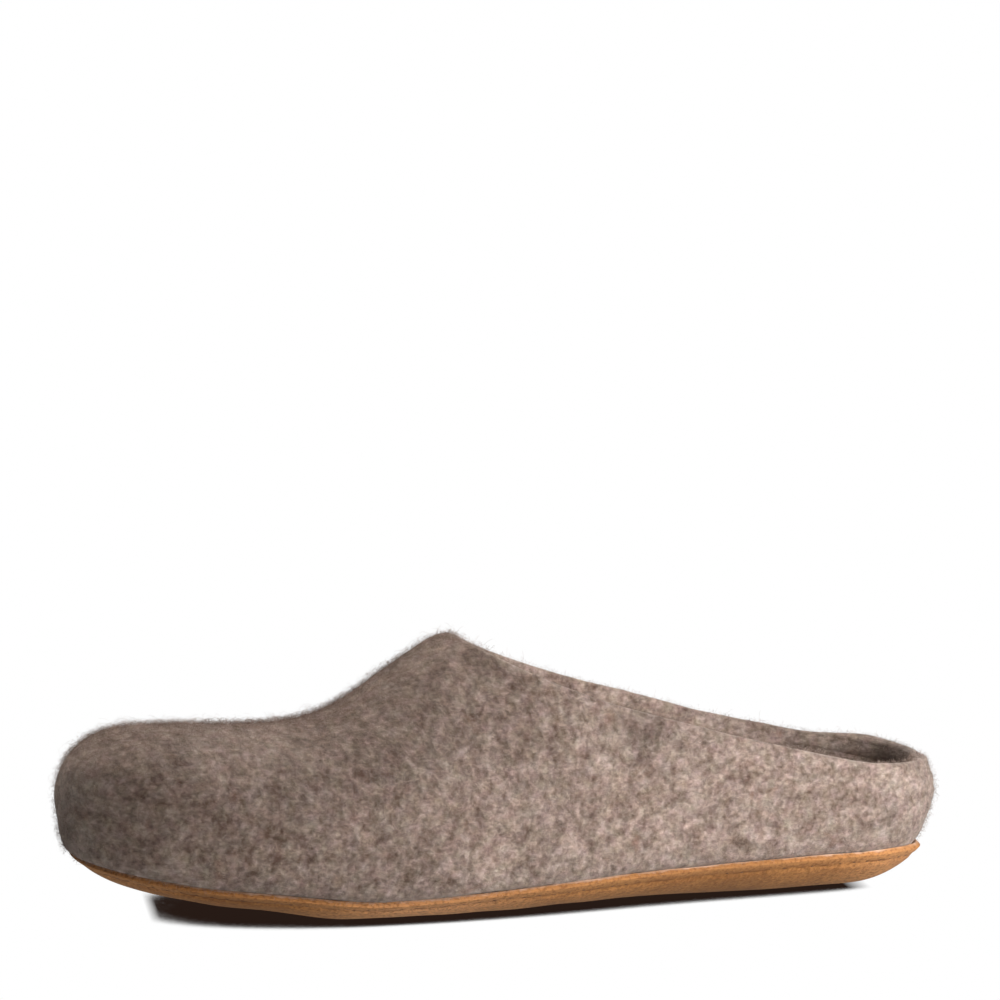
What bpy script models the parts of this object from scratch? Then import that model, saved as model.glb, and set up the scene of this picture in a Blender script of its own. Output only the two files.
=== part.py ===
"""Felted wool slipper with a sewn leather outsole: a left shoe, standing empty on its sole.

The toe points along -X, the outer side of the foot faces -Y, and the floor is Z = 0.
Sizes and tables are in millimetres, and MM turns them into Blender's metres.
"""

import math
from bisect import bisect_right
from collections import namedtuple

import bmesh
import bpy
from mathutils import Vector

for old in list(bpy.data.objects):
    bpy.data.objects.remove(old)

MM = 0.001

# Driving sizes
LENGTH = 278.0
FELT_WALL = 5.0
LEATHER = 2.0
INSOLE = 4.0
SEAT_GAP = 0.3

# Rounding of the collar's rim: its size, its steps, and the corner in degrees past which an edge is rounded
RIM_ROUND = 1.7
RIM_STEPS = 2
RIM_CORNER = 60

# Plan: where the straight sides end, and how square the round ends are
HEEL_CENTRE = 36.0
TOE_CENTRE = 232.0
HEEL_ROUND = 2.15
TOE_ROUND = 2.35

# Collar: where its front lies on the instep, and how much its inner side stands higher per mm across
THROAT = 158.0
COLLAR_LEAN = 0.026

# Share by which the underside is pressed past its round form, which leaves it flat where it stands
PRESSED = 1.05

# Rings and columns of the loft
SOLE_RINGS = 8
INSOLE_RINGS = 7
SIDE_RINGS = 4
TOP_RINGS = 9
HEEL_STEPS = 7
COLLAR_STEPS = 16
VAMP_STEPS = 9
TOE_STEPS = 7
COLLAR_CROWDING = 1.7
HALVINGS = 40
WELD = 1e-6

# Sections of the last from heel to toe. outer and inner are half widths from the centre line, centre is
# that line's shift to the inner side, under, widest and crown are heights, and the powers say how square
# a section is above and below its widest line (2 is an ellipse).
Section = namedtuple("Section", "along outer inner centre under widest crown top_power low_power")
SECTIONS = [
    Section(0, 36.0, 36.0, 0.0, 2.3, 32.0, 92, 2.80, 2.10),
    Section(36, 37.0, 36.5, 0.0, 2.3, 30.0, 103, 2.65, 2.20),
    Section(60, 38.0, 36.8, 0.0, 2.3, 28.5, 108, 2.55, 2.35),
    Section(105, 41.5, 37.8, 0.0, 3.4, 26.3, 108, 2.35, 2.75),
    Section(133, 45.5, 40.0, 0.0, 2.8, 25.0, 98, 2.25, 2.90),
    Section(158, 48.5, 43.8, 0.4, 2.3, 25.0, 83, 2.10, 2.95),
    Section(171, 49.8, 45.8, 0.8, 2.3, 25.0, 75, 2.15, 3.00),
    Section(185, 50.5, 47.6, 1.4, 2.3, 25.4, 65, 2.20, 3.00),
    Section(200, 50.7, 49.3, 2.2, 2.3, 26.4, 58, 2.30, 3.05),
    Section(216, 50.2, 50.0, 3.4, 5.2, 28.6, 56, 2.40, 3.20),
    Section(243, 46.5, 48.8, 5.4, 9.3, 34.2, 56.5, 2.62, 3.80),
    Section(278, 42.0, 46.0, 8.0, 15.0, 38.8, 58, 2.55, 3.80),
]

# Edges that run round the shoe: the collar on the felt, and the leather's cut edge
Edge = namedtuple("Edge", "along height")
COLLAR = [
    Edge(0, 39.5),
    Edge(28, 41.5),
    Edge(60, 48.5),
    Edge(93, 58.0),
    Edge(126, 68.0),
    Edge(158, 83.0),
]
LEATHER_EDGE = [
    Edge(0, 12.0),
    Edge(20, 14.0),
    Edge(68, 13.5),
    Edge(108, 12.5),
    Edge(148, 10.4),
    Edge(188, 8.5),
    Edge(223, 12.0),
    Edge(253, 15.5),
    Edge(278, 20.0),
]

Finish = namedtuple("Finish", "colour roughness")
FELT_FINISH = Finish((0.22, 0.18, 0.155, 1.0), 0.95)
LEATHER_FINISH = Finish((0.36, 0.19, 0.075, 1.0), 0.8)
INSOLE_FINISH = Finish((0.26, 0.22, 0.19, 1.0), 0.95)


def row_slopes(stations, values):
    """Slope of a smooth curve at each row of a table: level at a high or a low, so it never overshoots."""
    pairs = list(zip(stations, values))
    steps = [(v2 - v1) / (s2 - s1) for (s1, v1), (s2, v2) in zip(pairs, pairs[1:])]
    inner = [2 * a * b / (a + b) if a * b > 0 else 0.0 for a, b in zip(steps, steps[1:])]
    return [steps[0], *inner, steps[-1]]


def read(table, column, along):
    """Reads a table's column at a distance along the shoe, on a smooth curve through its rows."""
    stations = [row.along for row in table]
    values = [getattr(row, column) for row in table]
    slopes = row_slopes(stations, values)
    k = min(max(bisect_right(stations, along) - 1, 0), len(table) - 2)
    span = stations[k + 1] - stations[k]
    t = min(max((along - stations[k]) / span, 0.0), 1.0)
    near = (1 + 2 * t) * (1 - t) ** 2 * values[k] + t * (1 - t) ** 2 * span * slopes[k]
    far = t * t * (3 - 2 * t) * values[k + 1] + t * t * (t - 1) * span * slopes[k + 1]
    return near + far


def round_end(share, power):
    """Width left at a share of the way from an end's centre to its tip."""
    return max(1 - share**power, 0.0) ** (1 / power)


def outline_across(along, side):
    """Distance across of the widest outline: side -1 is the outer side, +1 the inner side."""
    width = read(SECTIONS, "outer" if side < 0 else "inner", along)
    if along < HEEL_CENTRE:
        width *= round_end((HEEL_CENTRE - along) / HEEL_CENTRE, HEEL_ROUND)
    if along > TOE_CENTRE:
        width *= round_end((along - TOE_CENTRE) / (LENGTH - TOE_CENTRE), TOE_ROUND)
    return read(SECTIONS, "centre", along) + side * width


def side_stations():
    """Distances along one side, close together round the heel, at the collar's front and round the toe."""
    quarter = math.pi / 2
    heel = [HEEL_CENTRE * (1 - math.cos(quarter * k / HEEL_STEPS)) for k in range(HEEL_STEPS)]
    collar_run = THROAT - HEEL_CENTRE
    left = [1 - k / COLLAR_STEPS for k in range(COLLAR_STEPS)]
    collar = [THROAT - collar_run * share**COLLAR_CROWDING for share in left]
    vamp_run = TOE_CENTRE - THROAT
    vamp = [THROAT + vamp_run * k / VAMP_STEPS for k in range(VAMP_STEPS)]
    toe_run = LENGTH - TOE_CENTRE
    toe = [TOE_CENTRE + toe_run * math.sin(quarter * k / TOE_STEPS) for k in range(TOE_STEPS + 1)]
    return heel + collar + vamp + toe


# Columns of the loft, from the heel along the outer side to the toe and back along the inner side
Column = namedtuple("Column", "along side")
STATIONS = side_stations()
COLUMNS = [Column(along, -1) for along in STATIONS]
COLUMNS += [Column(along, 1) for along in reversed(STATIONS[1:-1])]

# Shift that puts the middle of the outline on X, since the forefoot swings to the inner side
ACROSS = [outline_across(column.along, column.side) for column in COLUMNS]
MIDDLE = (min(ACROSS) + max(ACROSS)) / 2


def last_point(column, turn):
    """Point of the felt's outside on a column of the outline.

    turn goes from -90 degrees under the spine, through 0 on the widest line, to 90 on the crown.
    Returns the distance along the shoe, the distance across and the height.
    """
    power = read(SECTIONS, "top_power" if turn > 0 else "low_power", column.along)
    reach = max(math.cos(turn), 0.0) ** (2 / power)
    rise = abs(math.sin(turn)) ** (2 / power)
    spine = min(max(column.along, HEEL_CENTRE), TOE_CENTRE)
    spine_across = read(SECTIONS, "centre", spine)
    along = spine + reach * (column.along - spine)
    across = spine_across + reach * (outline_across(column.along, column.side) - spine_across)
    widest = read(SECTIONS, "widest", along)
    if turn > 0:
        height = widest + rise * (read(SECTIONS, "crown", along) - widest)
    else:
        height = widest - min(PRESSED * rise, 1.0) * (widest - read(SECTIONS, "under", along))
    return along, across, height


def turn_at_edge(column, table, lean, low, high):
    """Turn between low and high at which a column rises through an edge's height, by halving."""
    for _ in range(HALVINGS):
        middle = (low + high) / 2
        along, across, height = last_point(column, middle)
        if height < read(table, "height", along) + lean * across:
            low = middle
        else:
            high = middle
    return (low + high) / 2


def even_turns(low, high, rings):
    """Turns in even steps from low to high, without the last."""
    return [low + (high - low) * k / rings for k in range(rings)]


def sole_turns(column):
    """Turns from the middle of the underside out to the leather's edge."""
    edge = turn_at_edge(column, LEATHER_EDGE, 0.0, -math.pi / 2, 0.0)
    return [*even_turns(-math.pi / 2, edge, SOLE_RINGS), edge]


def felt_turns(column):
    """Turns over the whole felt body: underside, side, and up to the collar or the crown."""
    top = math.pi / 2
    if column.along < THROAT:
        top = turn_at_edge(column, COLLAR, COLLAR_LEAN, 0.0, math.pi / 2)
    sole = sole_turns(column)
    side = even_turns(sole[-1], 0.0, SIDE_RINGS)
    return [*sole[:-1], *side, *even_turns(0.0, top, TOP_RINGS), top]


def insole_turns(column):
    """Turns of the footbed, which stops one ring short of the leather's edge."""
    return sole_turns(column)[: INSOLE_RINGS + 1]


def lofted_mesh(name, turns_of):
    """Open surface through every column, with four-sided faces that look outwards."""
    loft = bmesh.new()
    grid = []
    for column in COLUMNS:
        points = [last_point(column, turn) for turn in turns_of(column)]
        grid.append([loft.verts.new(Vector((LENGTH / 2 - a, b - MIDDLE, h)) * MM) for a, b, h in points])
    for one, two in zip(grid, grid[1:] + grid[:1]):
        for k in range(len(one) - 1):
            loft.faces.new((one[k], one[k + 1], two[k + 1], two[k]))
    bmesh.ops.remove_doubles(loft, verts=loft.verts, dist=WELD)
    mesh = bpy.data.meshes.new(name)
    loft.to_mesh(mesh)
    loft.free()
    mesh.shade_smooth()
    return mesh


def painted(name, finish):
    """Principled material of one colour."""
    material = bpy.data.materials.new(name)
    material.use_nodes = True
    shader = material.node_tree.nodes["Principled BSDF"]
    shader.inputs["Base Color"].default_value = finish.colour
    shader.inputs["Roughness"].default_value = finish.roughness
    return material


def shell(name, turns_of, finish, seat, thickness, outward):
    """Piece of one thickness, lofted on the last, moved off it by seat and thickened out or in."""
    piece = bpy.data.objects.new(name, lofted_mesh(name, turns_of))
    slipper.objects.link(piece)
    piece.data.materials.append(painted(name, finish))
    if seat:
        shift = piece.modifiers.new("seat", "DISPLACE")
        shift.direction = "NORMAL"
        shift.mid_level = 0.0
        shift.strength = seat * MM
    wall = piece.modifiers.new("wall", "SOLIDIFY")
    wall.thickness = thickness * MM
    wall.offset = 1.0 if outward else -1.0
    wall.use_even_offset = True
    wall.use_quality_normals = True
    return piece


slipper = bpy.data.collections.new("felt_slipper")
bpy.context.scene.collection.children.link(slipper)

# Felt body, felted whole over the last with its own bottom, and open at the collar
felt_upper = shell("felt_upper", felt_turns, FELT_FINISH, 0.0, FELT_WALL, outward=False)
rim = felt_upper.modifiers.new("rim", "BEVEL")
rim.limit_method = "ANGLE"
rim.angle_limit = math.radians(RIM_CORNER)
rim.width = RIM_ROUND * MM
rim.segments = RIM_STEPS

# Leather outsole, cupped up round the felt's underside
shell("leather_outsole", sole_turns, LEATHER_FINISH, SEAT_GAP, LEATHER, outward=True)

# Felt footbed, lying inside on the felt's bottom
shell("felt_insole", insole_turns, INSOLE_FINISH, -(FELT_WALL + SEAT_GAP), INSOLE, outward=False)
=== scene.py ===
import math
from collections import namedtuple

import bmesh
import bpy
import numpy as np
from mathutils import Matrix, Vector, noise
from mathutils.bvhtree import BVHTree
from mathutils.kdtree import KDTree


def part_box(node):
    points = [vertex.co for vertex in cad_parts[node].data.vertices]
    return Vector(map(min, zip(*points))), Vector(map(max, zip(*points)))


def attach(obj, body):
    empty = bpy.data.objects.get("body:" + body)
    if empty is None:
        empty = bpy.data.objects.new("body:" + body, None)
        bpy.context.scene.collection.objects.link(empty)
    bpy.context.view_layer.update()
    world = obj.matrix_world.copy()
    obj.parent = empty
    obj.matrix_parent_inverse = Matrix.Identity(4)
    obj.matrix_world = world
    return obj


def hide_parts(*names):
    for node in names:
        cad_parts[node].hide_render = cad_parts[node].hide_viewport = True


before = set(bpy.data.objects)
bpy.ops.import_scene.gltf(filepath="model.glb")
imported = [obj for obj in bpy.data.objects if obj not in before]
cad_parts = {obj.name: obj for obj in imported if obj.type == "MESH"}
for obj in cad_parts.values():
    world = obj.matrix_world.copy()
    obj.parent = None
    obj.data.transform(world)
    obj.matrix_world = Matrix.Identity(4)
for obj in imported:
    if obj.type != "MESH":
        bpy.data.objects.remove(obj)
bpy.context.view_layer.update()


# Felt body: wool felted whole over a last, so that vamp, sides and bottom are one seamless hollow shell.
# The wall is a soft 5 mm thick, the collar's cut rim is rubbed round, and shrinking leaves shallow dents.
MM = 0.001
HEEL_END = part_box("felt_upper")[1].x

# Solids come as loose triangles: points closer than MERGE are one, and triangles that turn less than PAIRING
# make one four-sided face. Each face is then divided ROUNDING times.
MERGE = 1e-6
PAIRING = math.radians(50)
ROUNDING = 2

# Dents and folds by distance from the heel's end and height in mm, on the side that they lie on.
# A line runs from one point to the other, reach is how far it fades to each side, and a ridge has a rise.
Fold = namedtuple("Fold", "side along_1 height_1 along_2 height_2 reach rise")
FOLDS = [
    Fold(-1, 262, 34, 228, 42, 11.0, -0.9),
    Fold(-1, 205, 50, 190, 40, 9.0, -0.5),
    Fold(-1, 153, 60, 147, 50, 8.0, -0.5),
    Fold(-1, 118, 57, 84, 47, 7.0, -0.55),
    Fold(-1, 128, 49, 90, 40, 8.0, 0.35),
    Fold(-1, 60, 38, 24, 33, 8.0, -0.4),
    Fold(1, 225, 40, 190, 48, 10.0, -0.7),
    Fold(1, 130, 58, 92, 46, 8.0, -0.5),
    Fold(1, 62, 40, 30, 34, 9.0, -0.4),
]
LUMP_SIZE = 15.0
LUMP_RISE = 0.28
PIMPLE_SIZE = 4.5
PIMPLE_RISE = 0.09

# Rounder places of the body, pressed in or out about a point: along and height as above, and across from
# the middle, all in mm
Press = namedtuple("Press", "along across height reach rise")
PRESSES = [
    Press(272, 22, 47, 8.0, -1.8),
    Press(277, 18, 35, 6.5, 1.0),
    Press(277, 17, 25, 5.0, -0.7),
    Press(257, 26, 53, 9.0, 0.5),
    Press(244, 24, 55, 13.0, -1.0),
    Press(227, 21, 55, 13.0, -1.3),
    Press(210, 18, 55, 13.0, -1.0),
    Press(194, 16, 58, 11.0, -1.2),
    Press(161, 9, 79, 6.5, 1.0),
    Press(159, 9, 81, 3.5, 0.6),
    Press(155, 9, 82, 3.5, -0.5),
    Press(120, 29, 66, 20.0, -0.15),
    Press(66, 32, 51, 18.0, -0.5),
    Press(32, 31, 43, 12.0, -0.5),
    Press(11, 21, 41, 12.0, 1.0),
    Press(4, -8, 41, 6.0, -0.6),
    Press(7, -19, 40, 4.0, -0.9),
    Press(5, -17, 36, 5.0, 0.4),
    Press(5, -17, 33, 8.0, 1.2),
    Press(6, -18, 20, 7.0, -1.0),
]

# The rubbed rim: how far each round of rubbing reaches from it and how often it is rubbed, the height that
# this would take off it, and how far the heel's rim leans in over the foot
Rub = namedtuple("Rub", "reach times")
RUBS = [Rub(14.0, 25), Rub(9.0, 45), Rub(5.0, 70)]
RUB_STRENGTH = 0.5
RIM_CORNER = math.radians(24)
RIM_LOSS = 0.2
RIM_FADE = 5.0
HEEL_LEAN = 1.3
HEEL_LEAN_FADE = 13.0
HEEL_LEAN_LENGTH = 45.0

# The rim's outer corner at the heel, which is rubbed once more when the body has been pressed
Spot = namedtuple("Spot", "along across height")
HEEL_CORNER = Spot(6, -17, 38)
CORNER_RUB = Rub(9.0, 14)

# Felt swells over the leather's cut edge: how far out along the shoe, how soon above the edge it starts, and
# where it has faded
Swell = namedtuple("Swell", "along rise")
SWELLS = [Swell(0, 0.1), Swell(25, 0.3), Swell(60, 1.4), Swell(230, 1.8), Swell(280, 2.4)]
SWELL_START = 1.6
SWELL_FADE = 9.0
CUT_CORNER = math.radians(55)
EDGE_STEP = 0.5 * MM

WOOL_GROUND = (0.250, 0.188, 0.156, 1.0)
WOOL_DARK = (0.114, 0.072, 0.055, 1.0)
WOOL_PALE = (0.408, 0.326, 0.282, 1.0)

# Tones of the mixed wool, by waves to the metre, and how strongly each shows. The noise is drawn out across
# the shoe, so that it looks even on the vamp and the ends too.
Tone = namedtuple("Tone", "scale swirl share")
WOOL_TONES = [Tone(42, 0.4, 1.05), Tone(140, 0.4, 1.6), Tone(290, 0.3, 2.35), Tone(600, 0.2, 2.65)]
WOOL_DETAIL = 2
WOOL_DRAWN = (1.0, 0.5, 1.0)

# Slight shifts of hue, about a noise whose middle is one half, and rare rusty spots
UNTINTED = (1.0, 1.0, 1.0, 1.0)
HUE_SCALE = 300
HUE_DETAIL = 1
HUE_GAIN = 2.0
HUE_SHARE = 0.09
WOOL_RUST = (0.178, 0.089, 0.059, 1.0)
Uneven = namedtuple("Uneven", "scale detail swirl low high to_low to_high")
RUSTY = Uneven(130, WOOL_DETAIL, 0.3, 0.66, 0.78, 0.0, 0.5)

# Locks of fibres, as fine noise in two directions: which of it is pale or dark, and by how much
LOCK_STRETCH = (0.5, 1.0, 1.0)
LOCK_SCALE = 1150
LOCK_SWIRL = 0.5
LOCK_TURNS = [(0.0, 0.3, 0.0), (0.3, 1.9, 0.3)]
PALE_LOCKS = (0.5, 0.75)
DARK_LOCKS = (0.25, 0.5)
LOCK_CONTRAST = 0.25

# Felt is matt, with a soft pale sheen where its fibres catch the light
MATT_SPECULAR = 0.15
SHEEN_ROUGHNESS = 0.55
WOOL_SHEEN_TINT = (0.75, 0.68, 0.62, 1.0)
FELT_ROUGHNESS = 0.95
FELT_SHEEN = 0.4
FELT_BUMP = 0.35
FELT_BUMP_STRENGTH = 0.36

# Handfuls of darker and paler wool in the felt, by place as above, and painted light and shade inside the
# shoe:
# painted light on the far wall under its rim, painted shade low on that wall and in the heel's inside corner
Patch = namedtuple("Patch", "along across height reach tone")
WOOL_PATCHES_AND_PAINTED_LIGHT = [
    Patch(108, -43, 53, 9.0, -0.35),
    Patch(165, -40, 56, 9.0, -0.10),
    Patch(196, -50, 33, 8.0, 0.08),
    Patch(217, -45, 40, 8.0, -0.16),
    Patch(222, -46, 28, 8.0, 0.12),
    Patch(72, -41, 24, 6.0, 0.06),
    Patch(26, -37, 27, 6.0, -0.24),
    Patch(248, -24, 53, 9.0, -0.18),
    Patch(158, -50, 20, 12.0, 0.24),
    Patch(148, -35, 65, 13.0, 0.20),
    Patch(103, -44, 24, 7.0, 0.18),
    Patch(112, -45, 36, 13.0, 0.17),
    Patch(75, -42, 45, 6.0, 0.20),
    Patch(170, -48, 36, 12.0, 0.08),
    Patch(156, -6, 80, 9.0, 0.20),
    # Painted light: the far wall, paler under its rim
    Patch(125, 27, 63, 14.0, 0.36),
    Patch(95, 30, 56, 14.0, 0.30),
    Patch(65, 32, 47, 12.0, 0.20),
    # Painted shade: lower on the far wall by the heel, just above the near rim
    Patch(34, 29, 36, 4.0, -0.30),
    Patch(30, 28, 36, 6.0, -0.20),
    # Painted shade: the heel's inside corner
    Patch(12, 8, 34, 9.0, -0.55),
    Patch(8, -2, 36, 6.0, -0.5),
]


def copied_solid(node):
    """A solid's mesh as a bmesh, its loose triangles merged and paired back into four-sided faces."""
    solid = bmesh.new()
    solid.from_mesh(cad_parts[node].data)
    bmesh.ops.remove_doubles(solid, verts=solid.verts, dist=MERGE)
    bmesh.ops.join_triangles(
        solid, faces=solid.faces, angle_face_threshold=PAIRING, angle_shape_threshold=PAIRING
    )
    return solid


def smoothed_piece(name, solid):
    """New object from a bmesh, with its subdivision worked into the mesh."""
    cage = bpy.data.meshes.new(name + "_cage")
    solid.to_mesh(cage)
    solid.free()
    piece = bpy.data.objects.new(name, cage)
    bpy.context.scene.collection.objects.link(piece)
    rounding = piece.modifiers.new("rounding", "SUBSURF")
    rounding.levels = ROUNDING
    rounding.render_levels = ROUNDING
    evaluated = piece.evaluated_get(bpy.context.evaluated_depsgraph_get())
    piece.data = bpy.data.meshes.new_from_object(evaluated)
    piece.data.name = name
    piece.modifiers.clear()
    bpy.data.meshes.remove(cage)
    piece.data.materials.clear()
    piece.data.shade_smooth()
    return piece


def points_of(mesh):
    """Places of a mesh's points, and its normals there."""
    places = np.empty(len(mesh.vertices) * 3, np.float32)
    normals = np.empty(len(mesh.vertices) * 3, np.float32)
    mesh.vertices.foreach_get("co", places)
    mesh.vertex_normals.foreach_get("vector", normals)
    return places.reshape(-1, 3).astype(float), normals.reshape(-1, 3).astype(float)


def push_out(piece, rise):
    """Moves each point of a piece along its normal by rise, in metres."""
    places, normals = points_of(piece.data)
    places += normals * rise[:, None]
    piece.data.vertices.foreach_set("co", places.astype(np.float32).ravel())
    piece.data.update()


def surface_of(piece):
    """Search tree over a piece's faces."""
    return BVHTree.FromObject(piece, bpy.context.evaluated_depsgraph_get())


def along_line(line, step):
    """Points at even steps along a line of points."""
    line = np.array(line)
    run = np.concatenate([[0.0], np.cumsum(np.linalg.norm(np.diff(line, axis=0), axis=1))])
    stops = np.linspace(0.0, run[-1], max(int(round(run[-1] / step)), 1), endpoint=False)
    return np.stack([np.interp(stops, run, line[:, axis]) for axis in range(3)], 1)


def edge_lines(node, angle, step):
    """Lines along a solid's edges that turn by more than an angle, as points at even steps, longest first."""
    solid = bmesh.new()
    solid.from_mesh(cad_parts[node].data)
    bmesh.ops.remove_doubles(solid, verts=solid.verts, dist=MERGE)
    solid.edges.index_update()
    left = {edge.index: edge for edge in solid.edges if edge.calc_face_angle(0.0) > angle}
    lines = []
    while left:
        verts = list(left.pop(min(left)).verts)
        onward = [edge for edge in verts[-1].link_edges if edge.index in left]
        while onward:
            verts.append(left.pop(onward[0].index).other_vert(verts[-1]))
            onward = [edge for edge in verts[-1].link_edges if edge.index in left]
        lines.append(along_line([vert.co[:] for vert in verts], step))
    solid.free()
    return sorted(lines, key=len, reverse=True)


def nearest(points, places):
    """Nearest of some points to each place, and how far it is."""
    tree = KDTree(len(points))
    for number, point in enumerate(points):
        tree.insert(point, number)
    tree.balance()
    found = [tree.find(place) for place in places]
    nearest_points = np.array([point for point, number, gap in found])
    gaps = np.array([gap for point, number, gap in found])
    return nearest_points, gaps


def rub_round(piece, chosen, times):
    """Smooths the chosen points of a piece, as a thumb rubs an edge round."""
    work = bmesh.new()
    work.from_mesh(piece.data)
    work.verts.ensure_lookup_table()
    verts = [work.verts[number] for number in np.nonzero(chosen)[0]]
    for _ in range(times):
        bmesh.ops.smooth_vert(
            work, verts=verts, factor=RUB_STRENGTH, use_axis_x=True, use_axis_y=True, use_axis_z=True
        )
    work.to_mesh(piece.data)
    work.free()


def side_point(surface, side, along, height):
    """Point of the outside that is hit from the side at a distance along the shoe and a height, in mm."""
    start = Vector((HEEL_END - along * MM, side, height * MM))
    return np.array(surface.ray_cast(start, Vector((0, -side, 0)))[0])


def place_of(spot):
    """Place of a press, a patch or a spot, from its sizes in mm."""
    return np.array([HEEL_END - spot.along * MM, spot.across * MM, spot.height * MM])


def distance_to_line(places, start, end):
    """How far each place is from a straight line between two points."""
    run = end - start
    share = np.clip((places - start) @ run / (run @ run), 0, 1)
    return np.linalg.norm(places - start - share[:, None] * run, axis=1)


def lumps(places, size, rise):
    """Soft uneven rise of a felted surface, with lumps of a size in mm."""
    return np.array([noise.noise(place / (size * MM)) for place in map(Vector, places)]) * rise * MM


felt_body = smoothed_piece("felt_body", copied_solid("felt_upper"))
felt_places = points_of(felt_body.data)[0]
rim_lines = edge_lines("felt_upper", RIM_CORNER, EDGE_STEP)
rim_gap = nearest(np.concatenate(rim_lines), felt_places)[1]
heel_share = np.clip(1 - (HEEL_END - felt_places[:, 0]) / (HEEL_LEAN_LENGTH * MM), 0, 1)
felt_places[:, 2] += RIM_LOSS * MM * np.exp(-((rim_gap / (RIM_FADE * MM)) ** 2))
felt_places[:, 0] -= HEEL_LEAN * MM * heel_share * np.exp(-((rim_gap / (HEEL_LEAN_FADE * MM)) ** 2))
felt_body.data.vertices.foreach_set("co", felt_places.astype(np.float32).ravel())
for rub in RUBS:
    rub_round(felt_body, rim_gap < rub.reach * MM, rub.times)
felt_places = points_of(felt_body.data)[0]
felt_surface = surface_of(felt_body)
felt_rise = lumps(felt_places, LUMP_SIZE, LUMP_RISE) + lumps(felt_places, PIMPLE_SIZE, PIMPLE_RISE)
for fold in FOLDS:
    fold_start = side_point(felt_surface, fold.side, fold.along_1, fold.height_1)
    fold_end = side_point(felt_surface, fold.side, fold.along_2, fold.height_2)
    away = distance_to_line(felt_places, fold_start, fold_end) / (fold.reach * MM)
    felt_rise += fold.rise * MM * np.exp(-(away**2))
for press in PRESSES:
    away = np.linalg.norm(felt_places - place_of(press), axis=1) / (press.reach * MM)
    felt_rise += press.rise * MM * np.exp(-(away**2))
cut_lines = edge_lines("leather_outsole", CUT_CORNER, EDGE_STEP)
edge_point, edge_gap = nearest(np.concatenate(cut_lines), felt_places)
above = np.where(felt_places[:, 2] > edge_point[:, 2], edge_gap / MM, 0.0)
swell_alongs, swell_rises = zip(*SWELLS)
swell = np.interp((HEEL_END - felt_places[:, 0]) / MM, swell_alongs, swell_rises)
felt_rise += swell * MM * np.clip(above / SWELL_START, 0, 1) * np.exp(-((above / SWELL_FADE) ** 2))
push_out(felt_body, felt_rise)
corner_gap = np.linalg.norm(points_of(felt_body.data)[0] - place_of(HEEL_CORNER), axis=1)
rub_round(felt_body, corner_gap < CORNER_RUB.reach * MM, CORNER_RUB.times)


def wool_and_painted_light_tones(places):
    """How light or dark the wool's patches and the painted light and shade are at some places, 1 being the
    plain wool.
    """
    tones = np.ones(len(places))
    for patch in WOOL_PATCHES_AND_PAINTED_LIGHT:
        away = np.linalg.norm(places - place_of(patch), axis=1) / (patch.reach * MM)
        tones += patch.tone * np.exp(-(away**2))
    return tones


def paint(piece, name, values):
    """Keeps a value for each point of a piece, for its material to read."""
    piece.data.attributes.new(name, "FLOAT", "POINT").data.foreach_set("value", values.astype(np.float32))


def painted(tree, name):
    """The value that a piece keeps under a name."""
    made = tree.nodes.new("ShaderNodeAttribute")
    made.attribute_name = name
    return made.outputs["Fac"]


def feed(tree, socket, value):
    """Links an output into a socket, or sets the socket's own value."""
    if isinstance(value, bpy.types.NodeSocket):
        tree.links.new(value, socket)
    else:
        socket.default_value = value


def clouds(tree, place, scale, detail, swirl, output="Fac"):
    """Noise from 0 to 1 over a place, by waves to the metre. Its colour is a noise for each channel."""
    made = tree.nodes.new("ShaderNodeTexNoise")
    feed(tree, made.inputs["Vector"], place)
    made.inputs["Scale"].default_value = scale
    made.inputs["Detail"].default_value = detail
    made.inputs["Distortion"].default_value = swirl
    return made.outputs[output]


def spread(tree, value, low, high, to_low, to_high):
    """Turns a range of a value into another range."""
    made = tree.nodes.new("ShaderNodeMapRange")
    made.inputs["From Min"].default_value = low
    made.inputs["From Max"].default_value = high
    made.inputs["To Min"].default_value = to_low
    made.inputs["To Max"].default_value = to_high
    feed(tree, made.inputs["Value"], value)
    return made.outputs["Result"]


def uneven(tree, place, look):
    """Noise over a place, with a range of it turned into another range."""
    cloud = clouds(tree, place, look.scale, look.detail, look.swirl)
    return spread(tree, cloud, look.low, look.high, look.to_low, look.to_high)


def sums(tree, kind, one, two):
    """Math node of two values."""
    made = tree.nodes.new("ShaderNodeMath")
    made.operation = kind
    feed(tree, made.inputs[0], one)
    feed(tree, made.inputs[1], two)
    return made.outputs[0]


def blended(tree, share, one, two, kind="MIX"):
    """Mix of two colours, whose sockets come after those for numbers and vectors."""
    made = tree.nodes.new("ShaderNodeMix")
    made.data_type = "RGBA"
    made.blend_type = kind
    feed(tree, made.inputs[0], share)
    feed(tree, made.inputs[6], one)
    feed(tree, made.inputs[7], two)
    return made.outputs[2]


def dimmed(tree, colour, value):
    """Colour made lighter or darker by a value that is 1 where it stays."""
    made = tree.nodes.new("ShaderNodeVectorMath")
    made.operation = "SCALE"
    feed(tree, made.inputs[0], colour)
    feed(tree, made.inputs["Scale"], value)
    return made.outputs[0]


def drawn_out(tree, place, shares):
    """Place whose noise is longer along an axis where the axis has a smaller share."""
    made = tree.nodes.new("ShaderNodeVectorMath")
    made.operation = "MULTIPLY"
    feed(tree, made.inputs[0], place)
    made.inputs[1].default_value = shares
    return made.outputs[0]


def locks(tree, place, turn):
    """Noise drawn out along one direction, as locks of fibres lie."""
    made = tree.nodes.new("ShaderNodeMapping")
    made.inputs["Rotation"].default_value = turn
    made.inputs["Scale"].default_value = LOCK_STRETCH
    feed(tree, made.inputs["Vector"], place)
    return clouds(tree, made.outputs["Vector"], LOCK_SCALE, WOOL_DETAIL, LOCK_SWIRL)


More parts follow.
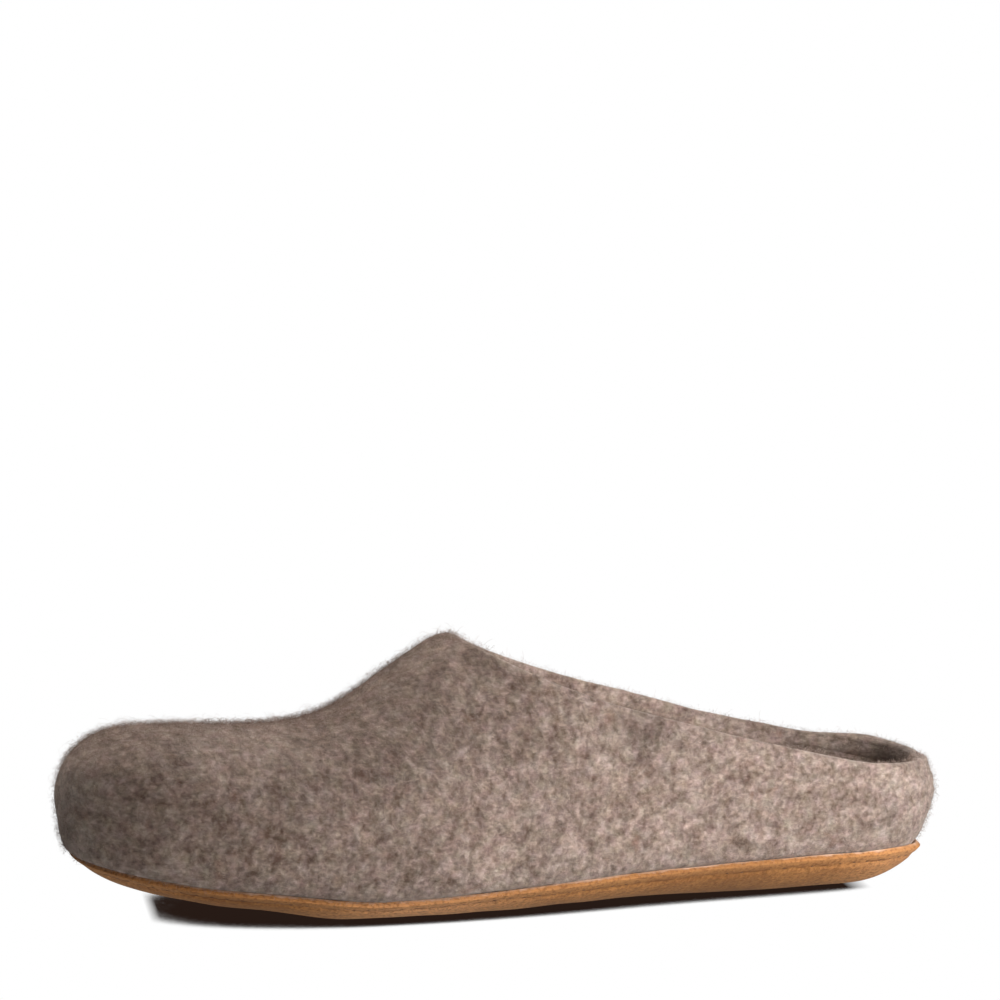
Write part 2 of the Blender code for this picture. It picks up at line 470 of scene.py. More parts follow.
def heathered_wool():
    """Node group of undyed mixed wool: its colour in soft patches, the tone of its locks, and its height."""
    tree = bpy.data.node_groups.new("heathered wool", "ShaderNodeTree")
    for name in ("Ground", "Dark", "Pale"):
        tree.interface.new_socket(name, in_out="INPUT", socket_type="NodeSocketColor")
    for name, kind in (("Colour", "Color"), ("Fleck", "Float"), ("Height", "Float")):
        tree.interface.new_socket(name, in_out="OUTPUT", socket_type="NodeSocket" + kind)
    given = tree.nodes.new("NodeGroupInput").outputs
    result = tree.nodes.new("NodeGroupOutput").inputs
    place = drawn_out(tree, tree.nodes.new("ShaderNodeTexCoord").outputs["Object"], WOOL_DRAWN)
    total = 0.0
    for tone in WOOL_TONES:
        half = tone.share / 2
        look = Uneven(tone.scale, WOOL_DETAIL, tone.swirl, 0.0, 1.0, -half, half)
        total = sums(tree, "ADD", total, uneven(tree, place, look))
    pale_share = spread(tree, total, 0.0, 1.0, 0.0, 1.0)
    dark_share = spread(tree, total, -1.0, 0.0, 1.0, 0.0)
    colour = blended(tree, pale_share, given["Ground"], given["Pale"])
    colour = blended(tree, dark_share, colour, given["Dark"])
    hue = dimmed(tree, clouds(tree, place, HUE_SCALE, HUE_DETAIL, 0.0, "Color"), HUE_GAIN)
    colour = blended(tree, 1.0, colour, blended(tree, HUE_SHARE, UNTINTED, hue), "MULTIPLY")
    colour = blended(tree, uneven(tree, place, RUSTY), colour, WOOL_RUST)
    laid, crossed = (locks(tree, place, turn) for turn in LOCK_TURNS)
    pale_lock = spread(tree, sums(tree, "MAXIMUM", laid, crossed), *PALE_LOCKS, 0.0, LOCK_CONTRAST)
    dark_lock = spread(tree, sums(tree, "MINIMUM", laid, crossed), *DARK_LOCKS, LOCK_CONTRAST, 0.0)
    feed(tree, result["Colour"], colour)
    feed(tree, result["Fleck"], sums(tree, "ADD", 1.0, sums(tree, "SUBTRACT", pale_lock, dark_lock)))
    feed(tree, result["Height"], sums(tree, "ADD", total, sums(tree, "ADD", laid, crossed)))
    return tree


WOOL = heathered_wool()


def wool_colours(tree, shades):
    """The wool group placed in a material with its own ground, dark and pale shade."""
    made = tree.nodes.new("ShaderNodeGroup")
    made.node_tree = WOOL
    for name, shade in zip(("Ground", "Dark", "Pale"), shades):
        made.inputs[name].default_value = shade
    return made.outputs


def new_material(name, roughness, sheen, sheen_tint):
    """Matt material with a soft sheen: its node tree and its shader."""
    material = bpy.data.materials.new(name)
    material.use_nodes = True
    shader = material.node_tree.nodes["Principled BSDF"]
    shader.inputs["Roughness"].default_value = roughness
    shader.inputs["Specular IOR Level"].default_value = MATT_SPECULAR
    shader.inputs["Sheen Weight"].default_value = sheen
    shader.inputs["Sheen Roughness"].default_value = SHEEN_ROUGHNESS
    shader.inputs["Sheen Tint"].default_value = sheen_tint
    return material, material.node_tree, shader


def raised(tree, height, depth, strength):
    """Bump normal from a height, depth being its size in metres."""
    made = tree.nodes.new("ShaderNodeBump")
    made.inputs["Distance"].default_value = depth
    made.inputs["Strength"].default_value = strength
    feed(tree, made.inputs["Height"], height)
    return made.outputs["Normal"]


def felt_finish(name, shades):
    """Matted wool fibres: heathered flecks over a soft uneven ground."""
    material, tree, shader = new_material(name, FELT_ROUGHNESS, FELT_SHEEN, WOOL_SHEEN_TINT)
    wool = wool_colours(tree, shades)
    # The painted tone holds the wool's patches, with painted light and shade among them
    tone = sums(tree, "MULTIPLY", wool["Fleck"], painted(tree, "tone"))
    feed(tree, shader.inputs["Base Color"], dimmed(tree, wool["Colour"], tone))
    feed(tree, shader.inputs["Normal"], raised(tree, wool["Height"], FELT_BUMP * MM, FELT_BUMP_STRENGTH))
    return material


# Tones of the wool's patches, with the painted light and shade inside the shoe among them
paint(felt_body, "tone", wool_and_painted_light_tones(points_of(felt_body.data)[0]))
felt_body.data.materials.append(felt_finish("grey-brown felt", (WOOL_GROUND, WOOL_DARK, WOOL_PALE)))
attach(felt_body, "root")
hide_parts("felt_upper")


# Footbed: a loose sole of pressed felt, cut to the inside of the slipper and laid on its felt bottom.
# It is a little greyer and flatter than the body, and nothing fixes it but the walls round it.
FOOTBED_GROUND = (0.225, 0.182, 0.158, 1.0)
FOOTBED_DARK = (0.110, 0.078, 0.062, 1.0)
FOOTBED_PALE = (0.370, 0.315, 0.285, 1.0)

footbed = smoothed_piece("footbed", copied_solid("felt_insole"))
# The same tones as the body's, with painted light and shade among them
paint(footbed, "tone", wool_and_painted_light_tones(points_of(footbed.data)[0]))
footbed.data.materials.append(felt_finish("pressed felt", (FOOTBED_GROUND, FOOTBED_DARK, FOOTBED_PALE)))
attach(footbed, "root")
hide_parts("felt_insole")


# Leather outsole: one piece of 2 mm tan leather, cut to the foot's outline and drawn up round the felt.
# Its top edge is a raw cut, a little paler than the face, and a sewing channel runs just below it.
EDGE_ROUND = 0.25
LEATHER_WAVE = 14.0
LEATHER_WAVE_RISE = 0.22
CHANNEL_DROP = 3.4
CHANNEL_DEPTH = 0.25
CHANNEL_WIDTH = 0.9
STITCH_PITCH = 4.8
DIMPLE = 0.3
DIMPLE_REACH = 1.3
LEATHER_TAN = (0.400, 0.176, 0.056, 1.0)
LEATHER_DARK = (0.268, 0.107, 0.034, 1.0)
LEATHER_PALE = (0.470, 0.220, 0.080, 1.0)
LEATHER_CUT = (0.680, 0.470, 0.350, 1.0)
LEATHER_PORE = (0.170, 0.064, 0.022, 1.0)

# Uneven looks of the leather: dark clouds, grain and pores, a channel that shows in places only, and a raw
# cut that is ragged and here and there clean
LEATHER_CLOUDS = Uneven(110, 3, 0.8, 0.45, 0.7, 0.0, 0.75)
Grain = namedtuple("Grain", "scale detail swirl")
LEATHER_GRAIN = Grain(650, 3, 0.6)
GRAIN_RANGE = (0.3, 0.7)
GRAIN_TONES = (0.74, 1.28)
LEATHER_PORES = Grain(1000, 3, 0.0)
PORE_RANGE = (0.50, 0.64)
PORE_SHARE = 0.54
CHANNEL_BREAKS = Uneven(170, 2, 0.0, 0.42, 0.6, 0.0, 0.8)
CHANNEL_LINE = (0.1, 0.55)
BAND_START = 0.6
BAND_GAP = 0.2
BAND_SHARE = 0.6
CUT_SEEN = 0.7
CUT_FADE = 0.3
CUT_RAGGED = Uneven(420, 2, 0.0, 0.3, 0.7, -0.4, 0.4)
CUT_CLEAN = Uneven(85, 2, 0.0, 0.4, 0.6, 0.2, 0.85)
LEATHER_ROUGHNESS = (0.8, 0.95)
LEATHER_SHEEN = 0.08
LEATHER_SHEEN_TINT = (0.9, 0.7, 0.5, 1.0)
LEATHER_BUMP = 0.25
LEATHER_BUMP_STRENGTH = 0.6

# Lighter and darker stretches of the leather, by distance from the heel's end in mm, and how pale the
# lightest and how dark the darkest leather gets
LeatherStretch = namedtuple("LeatherStretch", "along reach tone")
LEATHER_STRETCHES = [
    LeatherStretch(24, 14, 0.30),
    LeatherStretch(76, 12, -0.18),
    LeatherStretch(178, 30, 0.70),
    LeatherStretch(228, 24, -0.18),
    LeatherStretch(268, 16, 0.35),
]
LIGHTEST = 1.7
LIGHTEST_PALE_SHARE = 0.20
DARKEST = 0.7
DARKEST_DARK_SHARE = 0.5

leather = copied_solid("leather_outsole")
bmesh.ops.bevel(
    leather,
    geom=[edge for edge in leather.edges if edge.calc_face_angle(0.0) > CUT_CORNER],
    offset=EDGE_ROUND * MM,
    segments=2,
    profile=0.5,
    affect="EDGES",
    material=-1,
)
outsole = smoothed_piece("tan_outsole", leather)
leather_places = points_of(outsole.data)[0]
cut_gap = nearest(cut_lines[0], leather_places)[1]
inner_gap = nearest(cut_lines[1], leather_places)[1]
channel = np.exp(-(((cut_gap / MM - CHANNEL_DROP) / CHANNEL_WIDTH) ** 2))
push_out(outsole, lumps(leather_places, LEATHER_WAVE, LEATHER_WAVE_RISE) - channel * CHANNEL_DEPTH * MM)

# Seats of the stitches: below even steps of the outer cut edge, with the line's and the face's directions
Seat = namedtuple("Seat", "place run face")
outsole_surface = surface_of(outsole)
stitch_steps = along_line(np.concatenate([cut_lines[0], cut_lines[0][:1]]), STITCH_PITCH * MM)
stitch_seats = []
for before, step, after in zip(np.roll(stitch_steps, 1, 0), stitch_steps, np.roll(stitch_steps, -1, 0)):
    run = Vector(after - before).normalized()
    edge_face = outsole_surface.find_nearest(Vector(step) - Vector((0, 0, MM)))[1]
    down = run.cross(edge_face).normalized()
    down *= -math.copysign(1.0, down.z)
    place, face = outsole_surface.find_nearest(Vector(step) + down * CHANNEL_DROP * MM)[:2]
    stitch_seats.append(Seat(place, (run - face * run.dot(face)).normalized(), face))

leather_places = points_of(outsole.data)[0]
stitch_gap = nearest([seat.place for seat in stitch_seats], leather_places)[1]
push_out(outsole, -DIMPLE * MM * np.exp(-((stitch_gap / (DIMPLE_REACH * MM)) ** 2)))
leather_places = points_of(outsole.data)[0]
leather_places[:, 2] = np.maximum(leather_places[:, 2], 0.0)
outsole.data.vertices.foreach_set("co", leather_places.astype(np.float32).ravel())
outsole.data.update()


def leather_finish():
    """Napped leather: cloudy tan, fine pores, a pale line on the cut edge and a dark sewing channel."""
    roughness = LEATHER_ROUGHNESS[0]
    material, tree, shader = new_material("tan leather", roughness, LEATHER_SHEEN, LEATHER_SHEEN_TINT)
    place = tree.nodes.new("ShaderNodeTexCoord").outputs["Object"]
    drop = painted(tree, "edge_drop")
    colour = blended(tree, uneven(tree, place, LEATHER_CLOUDS), LEATHER_TAN, LEATHER_DARK)
    grain = clouds(tree, place, *LEATHER_GRAIN)
    colour = dimmed(tree, colour, spread(tree, grain, *GRAIN_RANGE, *GRAIN_TONES))
    # Lighter and darker stretches along the shoe, blended paler or darker at their most
    lightness = painted(tree, "stretch")
    colour = dimmed(tree, colour, lightness)
    colour = blended(tree, spread(tree, lightness, 1.0, LIGHTEST, 0.0, LIGHTEST_PALE_SHARE), colour, LEATHER_CUT)
    colour = blended(tree, spread(tree, lightness, DARKEST, 1.0, DARKEST_DARK_SHARE, 0.0), colour, LEATHER_DARK)
    band = spread(tree, drop, BAND_START, CHANNEL_DROP - BAND_GAP, BAND_SHARE, 0.0)
    colour = blended(tree, band, colour, LEATHER_PALE)
    pores = clouds(tree, place, *LEATHER_PORES)
    colour = blended(tree, spread(tree, pores, *PORE_RANGE, 0.0, PORE_SHARE), colour, LEATHER_PORE)
    off_channel = sums(tree, "ABSOLUTE", sums(tree, "SUBTRACT", drop, CHANNEL_DROP), 0.0)
    channel_line = spread(tree, off_channel, *CHANNEL_LINE, 1.0, 0.0)
    channel_share = sums(tree, "MULTIPLY", channel_line, uneven(tree, place, CHANNEL_BREAKS))
    colour = blended(tree, channel_share, colour, LEATHER_PORE)
    from_felt = sums(tree, "ADD", painted(tree, "inner_drop"), uneven(tree, place, CUT_RAGGED))
    cut_line = spread(tree, from_felt, CUT_SEEN - CUT_FADE, CUT_SEEN + CUT_FADE, 1.0, 0.0)
    cut_share = sums(tree, "MULTIPLY", cut_line, uneven(tree, place, CUT_CLEAN))
    colour = blended(tree, cut_share, colour, LEATHER_CUT)
    feed(tree, shader.inputs["Base Color"], colour)
    feed(tree, shader.inputs["Roughness"], spread(tree, grain, *GRAIN_RANGE, *LEATHER_ROUGHNESS))
    height = sums(tree, "ADD", pores, grain)
    feed(tree, shader.inputs["Normal"], raised(tree, height, LEATHER_BUMP * MM, LEATHER_BUMP_STRENGTH))
    return material


paint(outsole, "edge_drop", cut_gap / MM)
paint(outsole, "inner_drop", inner_gap / MM)
leather_along = (HEEL_END - leather_places[:, 0]) / MM
leather_lightness = np.ones(len(leather_places))
for stretch in LEATHER_STRETCHES:
    leather_lightness += stretch.tone * np.exp(-(((leather_along - stretch.along) / stretch.reach) ** 2))
paint(outsole, "stretch", leather_lightness)
outsole.data.materials.append(leather_finish())
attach(outsole, "root")
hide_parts("leather_outsole")


# Sole stitches: waxed brown thread, sewn by hand through leather and felt in one line round the foot.
# Each stitch is drawn down into the channel, so that little more than a dark dash of it shows.
STITCH_LONG = 0.95
STITCH_WIDE = 0.40
STITCH_THICK = 0.30
STITCH_SUNK = 0.12
THREAD_BROWN = (0.105, 0.048, 0.022)
THREAD_ROUGHNESS = 0.6
THREAD_SHEEN = 0.1
THREAD_SHEEN_TINT = (0.8, 0.7, 0.6, 1.0)
THREAD_TWIST = Uneven(2600, 1, 0.5, 0.3, 0.7, 0.7, 1.5)

thread = bmesh.new()
for seat in stitch_seats:
    turn = Matrix((seat.run, seat.face.cross(seat.run), seat.face)).transposed().to_4x4()
    sunk = seat.place - seat.face * (STITCH_SUNK + DIMPLE) * MM
    size = Matrix.Diagonal((STITCH_LONG * MM, STITCH_WIDE * MM, STITCH_THICK * MM, 1.0))
    bmesh.ops.create_uvsphere(
        thread, u_segments=8, v_segments=6, radius=1.0, matrix=Matrix.Translation(sunk) @ turn @ size
    )
stitches = bpy.data.objects.new("sole_stitches", bpy.data.meshes.new("sole_stitches"))
thread.to_mesh(stitches.data)
thread.free()
stitches.data.shade_smooth()
bpy.context.scene.collection.objects.link(stitches)
thread_material, thread_tree, thread_shader = new_material(
    "waxed thread", THREAD_ROUGHNESS, THREAD_SHEEN, THREAD_SHEEN_TINT
)
thread_place = thread_tree.nodes.new("ShaderNodeTexCoord").outputs["Object"]
thread_tone = uneven(thread_tree, thread_place, THREAD_TWIST)
feed(thread_tree, thread_shader.inputs["Base Color"], dimmed(thread_tree, THREAD_BROWN, thread_tone))
stitches.data.materials.append(thread_material)
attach(stitches, "root")


# Nap: the loose outer fibres of the felt, matted flat in all directions and curling up at their ends.
# They are the body's own wool, and lie thinner inside the shoe and on the vamp, where the felt is brushed up.
NAP_FIBRES = 12500
NAP_SEED = 0
NAP_LENGTH = (1.5, 4.0)
NAP_RADIUS = (0.02, 0.05)
NAP_BEND = 1.2
NAP_LIFT = 0.12
NAP_SHADE = 0.15
NAP_SHADE_LIMITS = (0.5, 1.6)
FIBRE_ROUGHNESS = 0.9
FIBRE_SHEEN = 0.3
SIDES = 3

# Points along a nap fibre, as shares of its length from its middle, and how far each is lifted
NAP_STOPS = np.array([-0.5, -0.18, 0.18, 0.5])
NAP_LIFTS = np.array([1.0, 0.12, 0.12, 0.6])

# Where the nap is thinner: inside, which is found by walls on both sides of a step off the felt, close under
# other pieces, and on the brushed vamp, by distance from the heel's end
INSIDE_NAP = 0.22
COVERED = 1.3
WALL_STEP = 2.5
VAMP_START = 130.0
VAMP_FADE = 40.0
VAMP_BRUSHED = 0.6


def nap_weights(piece, covers):
    """How thick the nap is on each face: none where another piece covers it, and little inside the shoe."""
    own = surface_of(piece)
    cover_surfaces = [surface_of(cover) for cover in covers]
    across = Vector((0, 1, 0))
    weights = np.empty(len(piece.data.polygons))
    for face in piece.data.polygons:
        spot = face.center + face.normal * WALL_STEP * MM
        walled = own.ray_cast(spot, across)[0] is not None and own.ray_cast(spot, -across)[0] is not None
        over = [cover.find_nearest(face.center, COVERED * MM)[0] for cover in cover_surfaces]
        hidden = any(point is not None for point in over)
        weights[face.index] = 0.0 if hidden else INSIDE_NAP if walled else 1.0
    return weights


def unit(vectors):
    """Vectors made one long."""
    return vectors / np.linalg.norm(vectors, axis=-1, keepdims=True)


def scattered(piece, weights, count, random):
    """Places at random over a piece's faces, weighed by face, with the surface's normal at each."""
    mesh = piece.data
    mesh.calc_loop_triangles()
    corners = np.empty(len(mesh.loop_triangles) * 3, np.int32)
    faces = np.empty(len(mesh.loop_triangles), np.int32)
    mesh.loop_triangles.foreach_get("vertices", corners)
    mesh.loop_triangles.foreach_get("polygon_index", faces)
    corners = corners.reshape(-1, 3)
    places, normals = points_of(mesh)
    one, two, three = (places[corners[:, k]] for k in range(3))
    share = np.linalg.norm(np.cross(two - one, three - one), axis=1) * weights[faces]
    picked = corners[random.choice(len(share), count, p=share / share.sum())]
    mix = random.dirichlet((1.0, 1.0, 1.0), count)[:, :, None]
    return (places[picked] * mix).sum(1), unit((normals[picked] * mix).sum(1))


def fibre_piece(name, lines, facing, radius, shades):
    """One mesh of closed three-sided fibres with pointed tips, from the points of each fibre's line."""
    count, stops = lines.shape[:2]
    along = unit(np.gradient(lines, axis=1))
    sideways = unit(np.cross(along, facing[:, None]))
    upright = np.cross(sideways, along)
    turns = np.arange(SIDES) * 2 * math.pi / SIDES
    swing = np.cos(turns)[:, None] * sideways[:, 1:-1, None]
    swing += np.sin(turns)[:, None] * upright[:, 1:-1, None]
    rings = lines[:, 1:-1, None] + swing * radius[:, None, None, None]
    verts = np.concatenate([lines[:, :1], rings.reshape(count, -1, 3), lines[:, -1:]], 1)
    size = verts.shape[1]
    faces = []
    for side in range(SIDES):
        near = 1 + side
        far = 1 + (side + 1) % SIDES
        faces.append((0, far, near))
        last = (stops - 3) * SIDES
        for ring in range(0, last, SIDES):
            onward = ring + SIDES
            faces.append((near + ring, far + ring, far + onward, near + onward))
        faces.append((near + last, far + last, size - 1))
    mesh = bpy.data.meshes.new(name)
    firsts = range(0, count * size, size)
    all_faces = [tuple(first + corner for corner in face) for first in firsts for face in faces]
    mesh.from_pydata(verts.reshape(-1, 3).tolist(), [], all_faces)
    mesh.shade_smooth()
    piece = bpy.data.objects.new(name, mesh)
    bpy.context.scene.collection.objects.link(piece)
    paint(piece, "shade", np.repeat(shades, size))
    return piece


def curled_lines(places, facing, length, bend, lift, heading):
    """Lines of four points that lie on a surface, bent in an arc, with their ends lifted off it."""
    turn = bend[:, None] * NAP_STOPS
    forward = length[:, None] * NAP_STOPS * np.sinc(turn / math.pi / 2)
    aside = forward * np.sin(turn / 2)
    height = lift[:, None] * NAP_LIFTS
    flat = unit(np.cross(facing, heading))
    across = np.cross(facing, flat)
    spread_out = forward[..., None] * flat[:, None] + aside[..., None] * across[:, None]
    return places[:, None] + spread_out + height[..., None] * facing[:, None]


def fibre_finish(name, shades):
    """Single wool fibres: the felt's own patches, each fibre in its own shade."""
    material, tree, shader = new_material(name, FIBRE_ROUGHNESS, FIBRE_SHEEN, WOOL_SHEEN_TINT)
    wool = wool_colours(tree, shades)
    feed(tree, shader.inputs["Base Color"], dimmed(tree, wool["Colour"], painted(tree, "shade")))
    return material


def nap_piece(name, ground, weights):
    """Nap fibres scattered over a piece."""
    random = np.random.default_rng(NAP_SEED)
    places, facing = scattered(ground, weights, NAP_FIBRES, random)
    length = random.uniform(*NAP_LENGTH, NAP_FIBRES) * MM
    radius = random.uniform(*NAP_RADIUS, NAP_FIBRES) * MM
    bend = random.normal(0.0, NAP_BEND, NAP_FIBRES)
    lift = np.abs(random.normal(0.0, NAP_LIFT, NAP_FIBRES)) * MM
    shades = np.clip(random.normal(1.0, NAP_SHADE, NAP_FIBRES), *NAP_SHADE_LIMITS)
    lines = curled_lines(places, facing, length, bend, lift, random.normal(size=(NAP_FIBRES, 3)))
    return fibre_piece(name, lines, facing, radius, shades * wool_and_painted_light_tones(places))


body_weights = nap_weights(felt_body, [outsole, footbed])
centres = np.array([face.center for face in felt_body.data.polygons])
uppers = np.array([face.normal.z for face in felt_body.data.polygons])
from_heel = (HEEL_END - centres[:, 0]) / MM
on_vamp = np.clip((from_heel - VAMP_START) / VAMP_FADE, 0, 1) * np.clip(uppers, 0, 1)
matted = body_weights * (1.0 - VAMP_BRUSHED * on_vamp)
nap_material = fibre_finish("wool nap", (WOOL_GROUND, WOOL_DARK, WOOL_PALE))
nap = nap_piece("wool_nap_1", felt_body, matted)
nap.data.materials.append(nap_material)
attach(nap, "root")


# Fuzz: short fine ends of the felt's own wool, which stand off it and soften its outline.
# The rim has shorter ones. Long hairs go with them, most of them on top of the vamp and the toe, where the
# felt is brushed up.

# How many there are, their lengths and radii in mm, how steeply they rise, how many points each has, how
# thick they stand all over, on the vamp and on the rim, and how light or dark they are: each fibre's own
# shade, mostly paler than the felt as painted light for the glow of lit fine fibres
Fuzz = namedtuple("Fuzz", "name count length radius rise stops all_over vamp rim shade seed")
FUZZES = [
    Fuzz("short_fuzz_1", 32000, (0.6, 2.8), (0.016, 0.034), (0.3, 1.0), 3, 1.0, 0.0, -0.7, (0.9, 1.9), 21),
    Fuzz("short_fuzz_2", 24000, (0.6, 2.8), (0.016, 0.034), (0.3, 1.0), 3, 1.0, 0.0, -0.7, (0.9, 1.9), 23),
    Fuzz("vamp_fuzz", 25000, (0.7, 3.0), (0.018, 0.038), (0.5, 1.0), 3, 1.0, 12.0, -0.7, (0.8, 2.1), 24),
    Fuzz("rim_fuzz", 9500, (0.5, 2.1), (0.014, 0.030), (0.3, 1.0), 3, 0.0, 0.0, 1.0, (0.9, 1.9), 25),
    Fuzz("long_hairs", 3800, (2.2, 6.5), (0.013, 0.026), (0.15, 0.6), 6, 1.0, 5.0, 0.0, (0.9, 1.9), 22),
]
RIM_FUZZ = 4.0
HAIR_ARCH = (1.2, 2.6)
HAIR_LEAN = 0.8
HAIR_SWAY = 0.3
HAIR_ROOT = 0.15


def standing_piece(fuzz, ground, weights):
    """Fibres that stand off a piece, most of them short, each rising, leaning over and swaying aside."""
    random = np.random.default_rng(fuzz.seed)
    places, facing = scattered(ground, weights, fuzz.count, random)
    shortest, longest = fuzz.length
    length = (shortest + (longest - shortest) * random.random(fuzz.count) ** 2) * MM
    radius = random.uniform(*fuzz.radius, fuzz.count) * MM
    flat = unit(np.cross(facing, random.normal(size=(fuzz.count, 3))))
    across = np.cross(facing, flat)
    share = np.linspace(0.0, 1.0, fuzz.stops)
    height = random.uniform(*fuzz.rise, fuzz.count)[:, None]
    arch = random.uniform(*HAIR_ARCH, fuzz.count)[:, None]
    rise = height * np.sin(share * arch)
    reach = np.sqrt(1.0 - HAIR_LEAN * height**2) * share
    sway = random.normal(0.0, HAIR_SWAY, fuzz.count)[:, None] * share**2
    bends = reach[..., None] * flat[:, None] + sway[..., None] * across[:, None]
    bends += rise[..., None] * facing[:, None]
    lines = places[:, None] + bends * length[:, None, None] - facing[:, None] * HAIR_ROOT * MM
    # Own shade of each fibre, paler than the felt on the whole: painted light for the glow of lit fibres
    shades = random.uniform(*fuzz.shade, fuzz.count) * wool_and_painted_light_tones(places)
    return fibre_piece(fuzz.name, lines, facing, radius, shades)


on_rim = np.exp(-((nearest(np.concatenate(rim_lines), centres)[1] / (RIM_FUZZ * MM)) ** 2))
for fuzz in FUZZES:
    fuzz_weights = body_weights * (fuzz.all_over + fuzz.vamp * on_vamp + fuzz.rim * on_rim)
    standing = standing_piece(fuzz, felt_body, fuzz_weights)
    standing.data.materials.append(nap_material)
    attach(standing, "root")


# Studio: a plain white floor, with a soft key near the heel, a low fill and a top light in front, and a light
# from behind. Floor and backdrop shine by themselves, white in the picture and dimmer on the shoe, and the
# floor darkens close under the shoe, where little light gets in.
FLOOR_RADIUS = 40.0
FLOOR_WHITE = (1.0, 1.0, 1.0, 1.0)
FLOOR_SHADE = (0.020, 0.011, 0.008, 1.0)
FLOOR_GLOW = 0.38
SKY_GLOW = 0.02
WARM = (1.0, 0.91, 0.85)
WHITE = (1.0, 1.0, 1.0)

# Shade under the shoe: how far round a place the light is felt, the range of it that shows, and where the
# shade ends under toe and heel, along a slanting line in metres, with how light the floor is there
SHADE_SAMPLES = 32
SHADE_REACH = 0.035
SHADE_RANGE = (0.15, 0.21)
SHADE_SLANT = (1.0, -0.15, 0.0)
ShadeEnd = namedtuple("ShadeEnd", "start end start_light end_light")
SHADE_ENDS = [ShadeEnd(-0.1135, -0.1100, 1.0, 0.0), ShadeEnd(0.108, 0.116, 0.0, 1.0)]

floor_disc = bmesh.new()
bmesh.ops.create_circle(floor_disc, cap_ends=True, radius=FLOOR_RADIUS, segments=96)
floor = bpy.data.objects.new("floor", bpy.data.meshes.new("floor"))
floor_disc.to_mesh(floor.data)
floor_disc.free()
bpy.context.scene.collection.objects.link(floor)


def seen_or_thrown(tree, seen_shader, thrown_shader):
    """Joins a shining shader that the picture shows with the one that lights the shoe, and puts it out."""
    made = tree.nodes.new("ShaderNodeMixShader")
    feed(tree, made.inputs[0], tree.nodes.new("ShaderNodeLightPath").outputs["Is Camera Ray"])
    feed(tree, made.inputs[1], thrown_shader.outputs[0])
    feed(tree, made.inputs[2], seen_shader.outputs[0])
    out = next(node for node in tree.nodes if "Surface" in node.inputs)
    feed(tree, out.inputs["Surface"], made.outputs[0])


floor_material = bpy.data.materials.new("floor")
floor_material.use_nodes = True
floor_tree = floor_material.node_tree
floor_open = floor_tree.nodes.new("ShaderNodeAmbientOcclusion")
floor_open.samples = SHADE_SAMPLES
floor_open.inputs["Distance"].default_value = SHADE_REACH
floor_light = spread(floor_tree, floor_open.outputs["AO"], *SHADE_RANGE, 0.0, 1.0)
floor_along = floor_tree.nodes.new("ShaderNodeVectorMath")
floor_along.operation = "DOT_PRODUCT"
feed(floor_tree, floor_along.inputs[0], floor_tree.nodes.new("ShaderNodeTexCoord").outputs["Object"])
floor_along.inputs[1].default_value = SHADE_SLANT
for shade_end in SHADE_ENDS:
    past_end = spread(floor_tree, floor_along.outputs["Value"], *shade_end)
    floor_light = sums(floor_tree, "MAXIMUM", floor_light, past_end)
floor_seen = floor_tree.nodes.new("ShaderNodeEmission")
feed(floor_tree, floor_seen.inputs["Color"], blended(floor_tree, floor_light, FLOOR_SHADE, FLOOR_WHITE))
floor_thrown = floor_tree.nodes.new("ShaderNodeEmission")
floor_thrown.inputs["Strength"].default_value = FLOOR_GLOW
seen_or_thrown(floor_tree, floor_seen, floor_thrown)
floor.data.materials.append(floor_material)


def direction(azimuth, elevation):
    """Unit vector towards a place at an azimuth and an elevation in degrees, 0 being in front."""
    turn = math.radians(azimuth)
    tilt = math.radians(elevation)
    return Vector((math.sin(turn) * math.cos(tilt), -math.cos(turn) * math.cos(tilt), math.sin(tilt)))


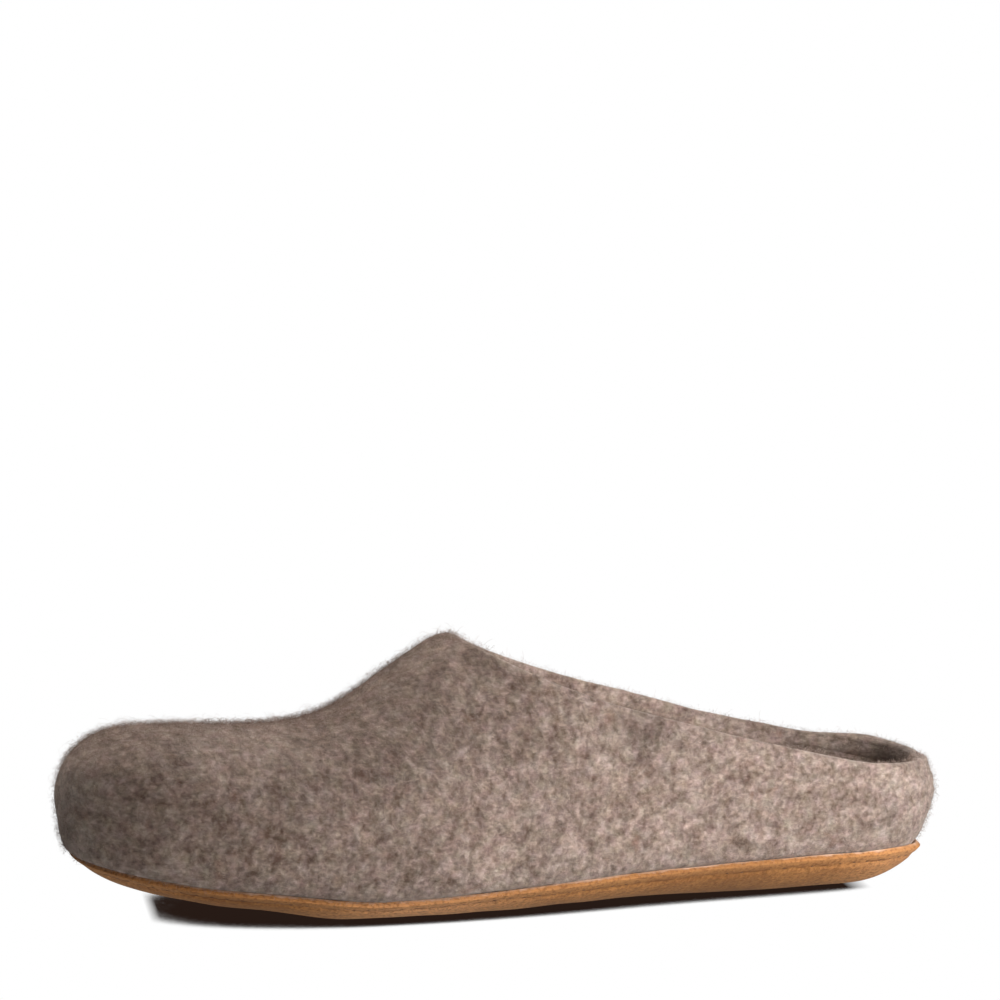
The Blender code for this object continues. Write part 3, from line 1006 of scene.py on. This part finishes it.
# Softboxes by the direction and distance that they stand at, in degrees and metres, with width and power
Softbox = namedtuple("Softbox", "name azimuth elevation distance width power colour")
SOFTBOXES = [
    Softbox("key", 42, 5, 0.3, 0.3, 1.36, WHITE),
    Softbox("fill", 0, 14, 1.0, 0.8, 3.15, WARM),
    Softbox("top", 10, 38, 0.9, 0.6, 0.7, WARM),
    Softbox("back", 195, 56, 0.8, 0.4, 4.6, WARM),
]
LAMP_AIM = Vector((0.0, 0.0, 0.04))

for box in SOFTBOXES:
    lamp = bpy.data.lights.new(box.name, "AREA")
    lamp.shape = "DISK"
    lamp.size = box.width
    lamp.energy = box.power
    lamp.color = box.colour
    stand = bpy.data.objects.new(box.name, lamp)
    stand.location = LAMP_AIM + direction(box.azimuth, box.elevation) * box.distance
    stand.rotation_euler = (LAMP_AIM - stand.location).to_track_quat("-Z", "Y").to_euler()
    stand.visible_camera = False
    bpy.context.scene.collection.objects.link(stand)
sky = bpy.data.worlds.new("sky")
sky.use_nodes = True
sky_seen = sky.node_tree.nodes["Background"]
sky_seen.inputs["Color"].default_value = FLOOR_WHITE
sky_thrown = sky.node_tree.nodes.new("ShaderNodeBackground")
sky_thrown.inputs["Color"].default_value = FLOOR_WHITE
sky_thrown.inputs["Strength"].default_value = SKY_GLOW
seen_or_thrown(sky.node_tree, sky_seen, sky_thrown)
bpy.context.scene.world = sky
bpy.context.scene.view_settings.view_transform = "Standard"


# Camera: the photograph's own angle, low from the toe's side, with the shoe in the lower part of the frame.
# The lens, and how far the view point is right of and below the frame's middle, are in pixels of the frame.
VIEW_AZIMUTH = -17.02
VIEW_ELEVATION = 8.70
VIEW_DISTANCE = 1.300
VIEW_POINT = Vector((0.001, -0.00205, 0.040))
FRAME_PIXELS = 1000
LENS_PIXELS = 4203.6
POINT_RIGHT = 11.84
POINT_BELOW = 266.4
SENSOR = 36.0

back = direction(VIEW_AZIMUTH, VIEW_ELEVATION)
to_right = Vector((0, 0, 1)).cross(back).normalized()
to_top = back.cross(to_right)
aim = to_top * POINT_BELOW - to_right * POINT_RIGHT - back * LENS_PIXELS
camera = bpy.data.objects.new("camera", bpy.data.cameras.new("camera"))
camera.data.sensor_width = SENSOR
camera.data.lens = LENS_PIXELS * SENSOR / FRAME_PIXELS
camera.location = VIEW_POINT + back * VIEW_DISTANCE
camera.rotation_euler = aim.to_track_quat("-Z", "Y").to_euler()
bpy.context.scene.collection.objects.link(camera)
bpy.context.scene.camera = camera
